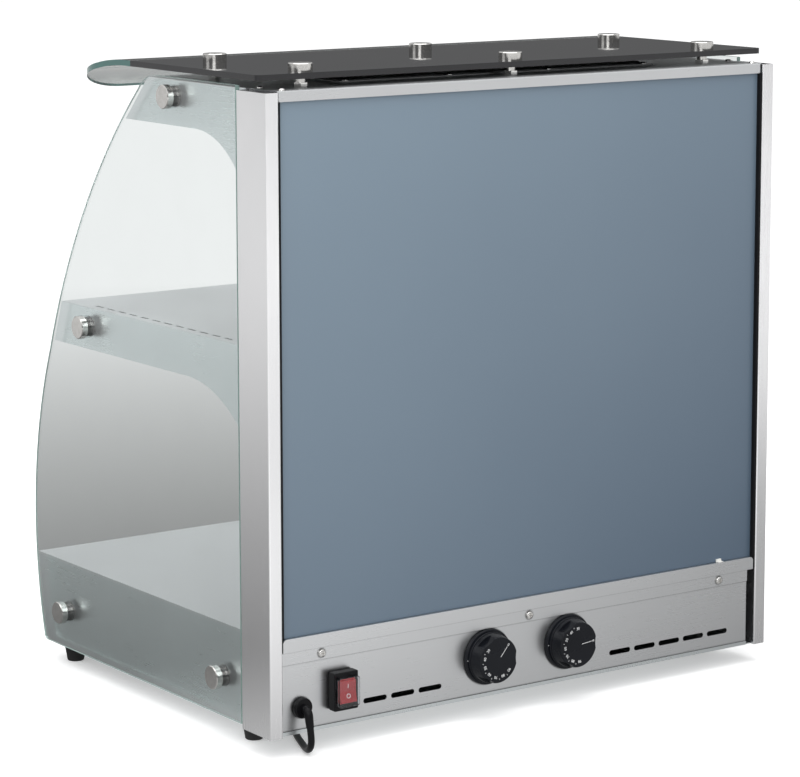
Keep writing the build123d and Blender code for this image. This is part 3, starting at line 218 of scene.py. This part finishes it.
def mirror_paint(name):
    """Mirror on its front, a smooth blue-grey protective coat on its back and edges, with painted light
    making the coat lighter towards +X and the top.
    """
    paint = Paint(name, (0.19, 0.25, 0.32), 0.38)
    normal = paint.node("ShaderNodeNewGeometry").outputs["Normal"]
    front = paint.maths("LESS_THAN", paint.axis_of("Y", normal), -0.5)
    # painted light: the coat is lighter towards +X and the top and darker towards -X and the bottom, with a
    # faint random cloud
    across = paint.ranged(paint.axis_of("X", paint.coords), 0.0, 0.45, -0.31, 0.31)
    rise = paint.ranged(paint.axis_of("Z", paint.coords), 0.0, 0.55, 0.11, 0.66)
    cloud = paint.ranged(paint.noise(5.0), -0.03, 0.03)
    painted_light_fade = paint.maths("ADD", paint.maths("ADD", across, rise), cloud)
    coat = paint.blend(painted_light_fade, (0.092, 0.134, 0.188), (0.198, 0.262, 0.322))
    paint.drive("Base Color", paint.blend(front, coat, (0.86, 0.88, 0.88)))
    paint.drive("Metallic", front)
    rough = paint.ranged(paint.noise(700.0, 2.0), 0.32, 0.40)
    paint.drive("Roughness", paint.maths("MULTIPLY", rough, paint.maths("SUBTRACT", 1.0, front)))
    return paint.mat


# ---------------------------------------------------------------- materials on the CAD nodes

CANOPY_PRINT_DEPTH = 265.0 * MM         # rear face of the posts to the print's front line

POST_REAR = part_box("post_left")[1].y
MATERIALS = {
    "panel_steel": steel("panel_steel", (0.66, 0.67, 0.68), 0.30, (0.03, 1.0, 1.0)),
    "post_steel": steel("post_steel", (0.82, 0.82, 0.83), 0.24, (1.0, 1.0, 0.03)),
    "deck_steel": steel("deck_steel", (0.76, 0.78, 0.79), 0.34, (0.03, 1.0, 1.0)),
    "side_steel": steel("side_steel", (0.72, 0.76, 0.77), 0.30, (1.0, 0.03, 1.0)),
    "screw_steel": turned("screw_steel", (0.72, 0.71, 0.69), 0.08),
    "cap_steel": turned("cap_steel", (0.62, 0.61, 0.59), 0.18),
    "heater_steel": turned("heater_steel", (0.30, 0.27, 0.24), 0.45),
    "bright_sheet": turned("bright_sheet", (0.80, 0.80, 0.80), 0.22),
    "brass": turned("brass", (0.72, 0.56, 0.28), 0.25),
    "mirror": mirror_paint("mirror"),
    "side_pane": pane("side_pane", (0.93, 0.965, 0.96), (0.42, 0.60, 0.55), "X"),
    "canopy": printed_canopy("canopy", POST_REAR - CANOPY_PRINT_DEPTH),
    "gasket": moulded("gasket", (0.006, 0.006, 0.007), 0.60, Specular_IOR_Level=0.15),
    "spacer": moulded("spacer", (0.016, 0.018, 0.019), 0.45),
    "foot": moulded("foot", (0.012, 0.012, 0.013), 0.62, 700.0, 0.00006),
    "cord": moulded("cord", (0.006, 0.006, 0.007), 0.38, Specular_IOR_Level=0.14),
    "black_plastic": moulded("black_plastic", (0.005, 0.005, 0.006), 0.30, Specular_IOR_Level=0.14),
    "knob": moulded("knob", (0.007, 0.008, 0.011), 0.28, Specular_IOR_Level=0.18),
    "clip": moulded("clip", (0.75, 0.75, 0.72), 0.45),
    "lens": moulded("lens", (0.88, 0.88, 0.86), 0.5),
    "lamp": moulded("lamp", (0.92, 0.92, 0.90), 0.25),
    "ceramic": moulded("ceramic", (0.80, 0.78, 0.73), 0.6, 500.0, 0.00008),
    "thermostat": moulded("thermostat", (0.30, 0.24, 0.18), 0.5),
    "red": moulded("red", (0.36, 0.018, 0.024), 0.25, Transmission_Weight=0.15, Coat_Weight=0.3),
    "white_print": moulded("white_print", (0.80, 0.81, 0.82), 0.45),
}
CLEAR_COVER = Paint("clear_cover", (0.92, 0.93, 0.95), 0.06, 0.0, IOR=1.42, Transmission_Weight=1.0)
CLEAR_COVER.drive("Roughness", CLEAR_COVER.ranged(CLEAR_COVER.noise(120.0), 0.04, 0.14))
MATERIALS["clear_cover"] = CLEAR_COVER.mat

SURFACES = {
    "panel_steel": ["control_panel", "lower_rail", "top_rail"],
    "post_steel": ["post_left", "post_right"],
    "deck_steel": ["deck_plate", "shelf_top", "shelf_pan", "top_plate", "top_pan", "access_cover"],
    "side_steel": ["base_shell", "shelf_bracket_left", "shelf_bracket_right", "top_bracket_left",
                   "top_bracket_right", "top_fascia"],
    "screw_steel": ["lower_rail_screws", "shelf_pan_screws", "top_screws", "glass_bolts_left",
                    "glass_bolts_right", "canopy_bolts", "canopy_nuts", "foot_screws"],
    "cap_steel": ["glass_caps_left", "glass_caps_right", "canopy_caps", "canopy_spacers"],
    "heater_steel": ["shelf_element", "deck_element"],
    "bright_sheet": ["lamp_reflector"],
    "brass": ["plug_pins"],
    "mirror": ["rear_mirror"],
    "side_pane": ["side_glass_left", "side_glass_right"],
    "canopy": ["canopy_glass"],
    "gasket": ["mirror_gasket_left", "mirror_gasket_right"],
    "spacer": ["glass_spacers_left", "glass_spacers_right"],
    "foot": ["rubber_feet"],
    "cord": ["plug_body"],
    "black_plastic": ["cable_gland", "strain_relief", "switch_housing"],
    "knob": ["knob_left", "knob_right", "dial_bezels"],
    "clip": ["mirror_clip"],
    "lens": ["lamp_lens"],
    "lamp": ["lamp_tube"],
    "ceramic": ["lamp_holders"],
    "thermostat": ["thermostat_left", "thermostat_right"],
    "red": ["switch_rocker"],
    "clear_cover": ["switch_cover"],
}


def paint_nodes():
    for name, nodes in SURFACES.items():
        for node in nodes:
            data = NODES[node].data
            if not data.materials:
                data.materials.append(MATERIALS[name])
            for slot in NODES[node].material_slots:
                slot.material = MATERIALS[name]
    for node in ("side_glass_left", "side_glass_right", "switch_cover"):
        NODES[node].visible_shadow = False


# ---------------------------------------------------------------- markings

MARK_THICK = 0.12 * MM            # how far a mark stands out of its face, and in behind it


class Face:
    """A place on a face that looks towards +Y, read as someone behind the case sees it."""

    def __init__(self, x, y, z, body):
        self.origin = Vector((x, y, z))
        self.body = body

    def point(self, clock, radius):
        """The point at an angle clockwise from the top, in degrees, and a radius."""
        a = radians(clock)
        return self.origin + Vector((-sin(a) * radius, 0, cos(a) * radius))

    def matrix(self, place, turn=0.0):
        """Text frame: local X to the viewer's right, local Y up, turned clockwise."""
        basis = Matrix(((-1, 0, 0), (0, 0, 1), (0, 1, 0))).to_4x4()
        return Matrix.Translation(place) @ basis @ Matrix.Rotation(-radians(turn), 4, "Z")


def finish_mark(piece, face, material="white_print"):
    piece.data.materials.append(MATERIALS[material])
    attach(piece, face.body)
    return piece


def text_mark(name, words, face, place, turn, size):
    """Raised figures, turned into a mesh."""
    curve = bpy.data.curves.new(name, "FONT")
    curve.body = words
    curve.size = size
    curve.extrude = MARK_THICK
    curve.align_x = "CENTER"
    curve.align_y = "CENTER"
    holder = bpy.data.objects.new(name + ".tmp", curve)
    bpy.context.scene.collection.objects.link(holder)
    bpy.context.view_layer.update()
    depsgraph = bpy.context.evaluated_depsgraph_get()
    mesh = bpy.data.meshes.new_from_object(holder.evaluated_get(depsgraph))
    bpy.data.objects.remove(holder)
    mesh.transform(face.matrix(place, turn))
    piece = bpy.data.objects.new(name, mesh)
    bpy.context.scene.collection.objects.link(piece)
    return finish_mark(piece, face)


def bar_mark(name, face, start, end, width):
    """A printed stroke between two points of a face, with rounded ends."""
    steps = 8
    along = (end - start).normalized()
    side = along.cross(Vector((0, 1, 0)))
    outline = []
    for point, heading in ((end, 0.0), (start, pi)):
        for i in range(steps + 1):
            a = heading - pi / 2 + pi * i / steps
            outline.append(point + (along * cos(a) + side * sin(a)) * width / 2)
    count = len(outline)
    lift = Vector((0, MARK_THICK, 0))
    verts = [p - lift for p in outline] + [p + lift for p in outline]
    faces = [list(range(count)), list(range(2 * count - 1, count - 1, -1))]
    for i in range(count):
        j = (i + 1) % count
        faces.append([i, i + count, j + count, j])
    mesh = bpy.data.meshes.new(name)
    mesh.from_pydata(verts, [], faces)
    mesh.validate()
    piece = bpy.data.objects.new(name, mesh)
    bpy.context.scene.collection.objects.link(piece)
    fix_normals(piece)
    return finish_mark(piece, face)


def fix_normals(piece):
    work = bmesh.new()
    work.from_mesh(piece.data)
    bmesh.ops.recalc_face_normals(work, faces=work.faces)
    work.to_mesh(piece.data)
    work.free()


FIGURES = ["30", "40", "50", "60", "70", "80", "90"]
FIGURE_SIZE = 4.3 * MM
FIGURE_RADIUS = 18.1 * MM
ZERO_RADIUS = 19.6 * MM
POINTER_SPAN = (4.5 * MM, 17.0 * MM)     # radii of its ends
POINTER_WIDTH = 0.55 * MM
TICK_SPAN = (19.9 * MM, 20.9 * MM)
TICK_WIDTH = 0.45 * MM
DIAL_FIRST = 88.0        # degrees from the zero line back to the first figure
DIAL_STEP = 30.0
DIAL_TURN = {"knob_left": 40.0, "knob_right": 84.0}
DIAL_BODY = {"knob_left": "left_dial", "knob_right": "right_dial"}


def mark_dial(node):
    low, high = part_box(node)
    face = Face((low.x + high.x) / 2, high.y, (low.z + high.z) / 2, DIAL_BODY[node])
    zero = DIAL_TURN[node]
    tips = [face.point(zero, radius) for radius in POINTER_SPAN]
    bar_mark(node + "_pointer", face, *tips, POINTER_WIDTH)
    text_mark(node + "_zero", "0", face, face.point(zero, ZERO_RADIUS), zero, FIGURE_SIZE * 0.95)
    for i, words in enumerate(FIGURES):
        clock = zero - DIAL_FIRST - DIAL_STEP * i
        text_mark(f"{node}_figure_{words}", words, face, face.point(clock, FIGURE_RADIUS), clock, FIGURE_SIZE)
        if i < len(FIGURES) - 1:
            middle = clock - DIAL_STEP / 2
            ends = [face.point(middle, radius) for radius in TICK_SPAN]
            bar_mark(f"{node}_tick_{i}", face, *ends, TICK_WIDTH)


BEZEL_STEP = 0.6         # height of the bezel's outer step, as a part of its thickness
INDEX_SPAN = (2.35 * MM, 1.65 * MM)      # ends of the index stroke, in from the bezel's edge
INDEX_CLOCK = 270        # degrees clockwise from the top
INDEX_WIDTH = 0.6 * MM


def mark_bezels():
    """Short index stroke on each bezel's outer step, on the switch's side of its knob."""
    low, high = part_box("dial_bezels")
    radius = (high.z - low.z) / 2
    step_y = low.y + (high.y - low.y) * BEZEL_STEP
    for node in DIAL_TURN:
        knob_low, knob_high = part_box(node)
        face = Face((knob_low.x + knob_high.x) / 2, step_y, (low.z + high.z) / 2, "case")
        ends = [face.point(INDEX_CLOCK, radius - inset) for inset in INDEX_SPAN]
        bar_mark(node + "_index", face, *ends, INDEX_WIDTH)


ROCKER_PROUD = 2.8 * MM           # pressed half in front of the frame
ROCKER_TILT = radians(10.0)       # raised half against the pressed half
ROCKER_RIDGE = 0.68 * MM          # line between the halves, above the middle
RING_DROP = 4.3 * MM              # centre of the off ring, below the middle
RING_RADII = {"major_radius": 2.1 * MM, "minor_radius": 0.32 * MM}
STROKE_RISE = (4.0, 8.0)          # mm, ends of the on stroke above the middle
STROKE_WIDTH = 0.6 * MM


def mark_rocker():
    """Off ring on the raised half, on stroke on the pressed half."""
    low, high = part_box("switch_rocker")
    x, middle = (low.x + high.x) / 2, (low.z + high.z) / 2
    pressed_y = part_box("switch_housing")[1].y + ROCKER_PROUD
    ring_y = pressed_y + (RING_DROP + ROCKER_RIDGE) * tan(ROCKER_TILT)
    centre = Vector((x, ring_y, middle - RING_DROP))
    bpy.ops.mesh.primitive_torus_add(**RING_RADII, major_segments=40, minor_segments=8)
    ring = bpy.context.active_object
    ring.name = "rocker_off_ring"
    turn = Matrix.Rotation(radians(-90) + ROCKER_TILT, 4, "X")
    ring.data.transform(Matrix.Translation(centre) @ turn)
    ring.location = (0, 0, 0)
    for polygon in ring.data.polygons:
        polygon.use_smooth = True
    face = Face(x, pressed_y, middle, "rocker")
    finish_mark(ring, face)
    ends = [Vector((x, pressed_y, middle + rise * MM)) for rise in STROKE_RISE]
    stroke = bar_mark("rocker_on_stroke", face, *ends, STROKE_WIDTH)


# ---------------------------------------------------------------- mains lead

CORD_DIAMETER = 7.2 * MM
FLOOR_Z = 3.6                     # mm, centre of the lead where it lies on the counter
UPPER_Z = 10.9                    # mm, centre of the coil's upper turns
CORD_ROUTE = [                    # mm, from the strain relief to the coil
    (289.5, 252.6, 30.6),
    (289.5, 254.4, 22.2),
    (288.9, 253.6, 13.6),
    (287.2, 247.4, 6.4),
    (284.0, 237.3, FLOOR_Z),
    (276.5, 217.5, FLOOR_Z),
    (264.5, 187.5, FLOOR_Z),
    (238.0, 137.5, FLOOR_Z),
    (192.0, 71.5, FLOOR_Z),
    (142.0, -10.5, FLOOR_Z),
    (102.0, -92.5, FLOOR_Z),
    (62.0, -166.5, FLOOR_Z),
    (36.0, -224.5, FLOOR_Z),
    (24.0, -268.5, FLOOR_Z),
    (17.5, -300.5, FLOOR_Z),
    (15.5, -324.5, FLOOR_Z),
]
CORD_END = [                      # mm, from the coil's upper turn to the plug
    (-70.5, -330.5, 11.2),
    (-72.5, -315.5, 12.2),
    (-79.0, -299.5, 10.6),
    (-94.0, -288.5, 6.2),
    (-114.0, -284.5, 4.8),
    (-134.0, -285.5, 8.6),
    (-150.0, -286.5, 11.0),
]
COIL_CENTRE = (-30.0, -330.5)     # mm
COIL_START = 7.5                  # degrees from +X where the lead comes in
COIL_TURNS = 4.52
COIL_STEP = 20.0                  # degrees between points
COIL_OUTER = 46.0                 # mm, first turn
COIL_INNER = 29.0                 # mm, where it climbs onto the lower turns
COIL_LAST = 41.5                  # mm, last turn
COIL_CLIMB = (2.35, 2.75)         # turns between which it climbs


def coil_points():
    """Spiral in on the counter, climb, and spiral out on top."""
    points = []
    total = COIL_TURNS * 360
    angle = COIL_STEP
    while angle < total - COIL_STEP / 2:
        turns = angle / 360
        low, high = COIL_CLIMB
        if turns < low:
            radius = COIL_OUTER + (COIL_INNER - COIL_OUTER) * turns / low
            z = FLOOR_Z
        elif turns < high:
            radius = COIL_INNER
            z = FLOOR_Z + (UPPER_Z - FLOOR_Z) * (turns - low) / (high - low)
        else:
            radius = COIL_INNER + (COIL_LAST - COIL_INNER) * (turns - high) / (COIL_TURNS - high)
            z = UPPER_Z
        a = radians(COIL_START - angle)
        points.append((COIL_CENTRE[0] + radius * cos(a), COIL_CENTRE[1] + radius * sin(a), z))
        angle += COIL_STEP
    return points


def mains_lead():
    points = CORD_ROUTE + coil_points() + CORD_END
    curve = bpy.data.curves.new("mains_lead", "CURVE")
    curve.dimensions = "3D"
    spline = curve.splines.new("NURBS")
    spline.points.add(len(points) - 1)
    for target, point in zip(spline.points, points):
        target.co = (*(v * MM for v in point), 1.0)
    spline.order_u = 3
    spline.use_endpoint_u = True
    spline.resolution_u = 8
    curve.bevel_depth = CORD_DIAMETER / 2
    curve.bevel_resolution = 6
    curve.use_fill_caps = True
    lead = bpy.data.objects.new("mains_lead", curve)
    bpy.context.scene.collection.objects.link(lead)
    curve.materials.append(MATERIALS["cord"])
    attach(lead, "case")
    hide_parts("cord_tube", "cord_tail", "cord_coil")


# ---------------------------------------------------------------- studio

WORLD_STRENGTH = 1.0
SKY = [                           # place from straight down (0) to straight up (1), brightness
    (0.0, 0.30), (0.49, 0.30), (0.505, 0.12), (0.56, 0.17), (0.63, 0.60), (0.74, 0.98), (1.0, 1.0),
]


def world_light():
    """White to the camera; for light, glass and steel a studio that is dark near the horizon."""
    world = bpy.data.worlds.new("studio")
    bpy.context.scene.world = world
    world.use_nodes = True
    nodes, links = world.node_tree.nodes, world.node_tree.links
    background = nodes["Background"]
    coords = nodes.new("ShaderNodeTexCoord")
    split = nodes.new("ShaderNodeSeparateXYZ")
    ramp = nodes.new("ShaderNodeValToRGB")
    shift = nodes.new("ShaderNodeMapRange")
    shift.inputs["From Min"].default_value = -1.0
    links.new(coords.outputs["Generated"], split.inputs[0])
    links.new(split.outputs["Z"], shift.inputs["Value"])
    links.new(shift.outputs["Result"], ramp.inputs["Fac"])
    elements = ramp.color_ramp.elements
    while len(elements) < len(SKY):
        elements.new(0.5)
    for element, (place, value) in zip(elements, SKY):
        element.position = place
        element.color = (value, value * 1.005, value * 1.01, 1.0)
    path = nodes.new("ShaderNodeLightPath")
    mix = nodes.new("ShaderNodeMix")
    mix.data_type = "RGBA"
    links.new(path.outputs["Is Camera Ray"], mix.inputs[0])
    links.new(ramp.outputs["Color"], mix.inputs[6])
    mix.inputs[7].default_value = (1.0, 1.0, 1.0, 1.0)
    links.new(mix.outputs[2], background.inputs["Color"])
    background.inputs["Strength"].default_value = WORLD_STRENGTH


FLOOR_RADIUS = 14.0               # m
FLOOR_LIFT = 0.30                 # light added to the floor that the camera sees
BRIGHT_SPOT = (0.30, 1.00)        # where the table catches most light, behind the switch


def glow(paint):
    """Brightness of the table in glass and steel: low by the case, higher far off and behind it."""
    place = paint.coords
    x, y = paint.axis_of("X", place), paint.axis_of("Y", place)
    far = paint.ranged(length_of(paint, x, y), 0.24, 0.90, 0.45, 3.0)
    behind = paint.ranged(y, 0.0, 0.35, 0.6, 2.2)
    off_x = paint.maths("SUBTRACT", x, BRIGHT_SPOT[0])
    off_y = paint.maths("SUBTRACT", y, BRIGHT_SPOT[1])
    spot = paint.ranged(length_of(paint, off_x, off_y), 0.85, 0.0, 0.2, 1.15)
    return paint.maths("ADD", paint.maths("ADD", far, behind), spot)


def length_of(paint, x, y):
    """Length of the flat vector from two components."""
    squares = [paint.maths("MULTIPLY", side, side) for side in (x, y)]
    return paint.maths("SQRT", paint.maths("ADD", *squares), 0.0)


def floor():
    """Wide pale table; glass and steel meet a glow of its own instead of its lit surface."""
    bpy.ops.mesh.primitive_circle_add(vertices=96, radius=FLOOR_RADIUS, fill_type="NGON")
    disc = bpy.context.active_object
    disc.name = "floor"
    lift = {"Emission_Color": (1.0, 1.0, 1.0, 1.0), "Emission_Strength": FLOOR_LIFT}
    paint = Paint("floor", (0.86, 0.86, 0.86), 0.9, **lift)
    cloud = paint.ranged(paint.noise(3.0), 0.0, 1.0)
    paint.drive("Base Color", paint.blend(cloud, (0.85, 0.85, 0.85), (0.88, 0.88, 0.88)))
    path = paint.node("ShaderNodeLightPath")
    dim = paint.node("ShaderNodeEmission")
    paint.link(glow(paint), dim.inputs["Strength"])
    mix = paint.node("ShaderNodeMixShader")
    paint.link(path.outputs["Is Camera Ray"], mix.inputs[0])
    paint.link(dim.outputs[0], mix.inputs[1])
    paint.link(paint.shader.outputs[0], mix.inputs[2])
    paint.link(mix.outputs[0], paint.tree.nodes["Material Output"].inputs["Surface"])
    disc.data.materials.append(paint.mat)


def softbox(name, place, target, size, power):
    light = bpy.data.lights.new(name, "AREA")
    light.shape = "RECTANGLE"
    light.size, light.size_y = size
    light.energy = power
    lamp = bpy.data.objects.new(name, light)
    lamp.location = place
    lamp.rotation_euler = (Vector(target) - Vector(place)).to_track_quat("-Z", "Y").to_euler()
    bpy.context.scene.collection.objects.link(lamp)


SOFTBOXES = [                     # name, place, the point it looks at, size (all in m), watts
    ("top_soft", (0.2, 0.3, 2.6), (0, 0, 0.3), (2.6, 2.2), 40),
    ("rear_left_soft", (1.7, 1.9, 1.5), (0.1, 0.1, 0.45), (1.2, 1.4), 14),
    ("side_soft", (2.4, -0.5, 1.6), (0, 0, 0.4), (1.4, 1.6), 10),
]


def lights():
    for box in SOFTBOXES:
        softbox(*box)


# ---------------------------------------------------------------- camera

CAMERA_TURN = 144.96       # degrees
CAMERA_PITCH = 8.77
CAMERA_ROLL = -0.10
CAMERA_LENS = 138.56       # mm on a 36 mm sensor
CAMERA_SHIFT = -0.10
CAMERA_AIM = (0.0, 0.24175, 0.3415)
CAMERA_OFFSET = (0.13962, -0.0892, -3.23366)   # the aim point seen from the camera


def camera():
    a, e, roll = radians(CAMERA_TURN), radians(CAMERA_PITCH), radians(CAMERA_ROLL)
    back = Vector((sin(a) * cos(e), -cos(a) * cos(e), sin(e)))
    right = Vector((cos(a), sin(a), 0))
    up = back.cross(right)
    right_rolled = right * cos(roll) + up * sin(roll)
    up_rolled = up * cos(roll) - right * sin(roll)
    x, y, z = CAMERA_OFFSET
    place = Vector(CAMERA_AIM) - right_rolled * x - up_rolled * y - back * z
    data = bpy.data.cameras.new("camera")
    data.sensor_width = 36.0
    data.lens = CAMERA_LENS
    data.shift_y = CAMERA_SHIFT
    data.clip_end = 60.0
    eye = bpy.data.objects.new("camera", data)
    rotation = Matrix((right_rolled, up_rolled, back)).transposed().to_4x4()
    eye.matrix_world = Matrix.Translation(place) @ rotation
    bpy.context.scene.collection.objects.link(eye)
    bpy.context.scene.camera = eye


# ---------------------------------------------------------------- build

paint_nodes()
for dial in DIAL_TURN:
    mark_dial(dial)
mark_bezels()
mark_rocker()
mains_lead()
world_light()
floor()
lights()
camera()
bpy.context.scene.view_settings.view_transform = "Standard"
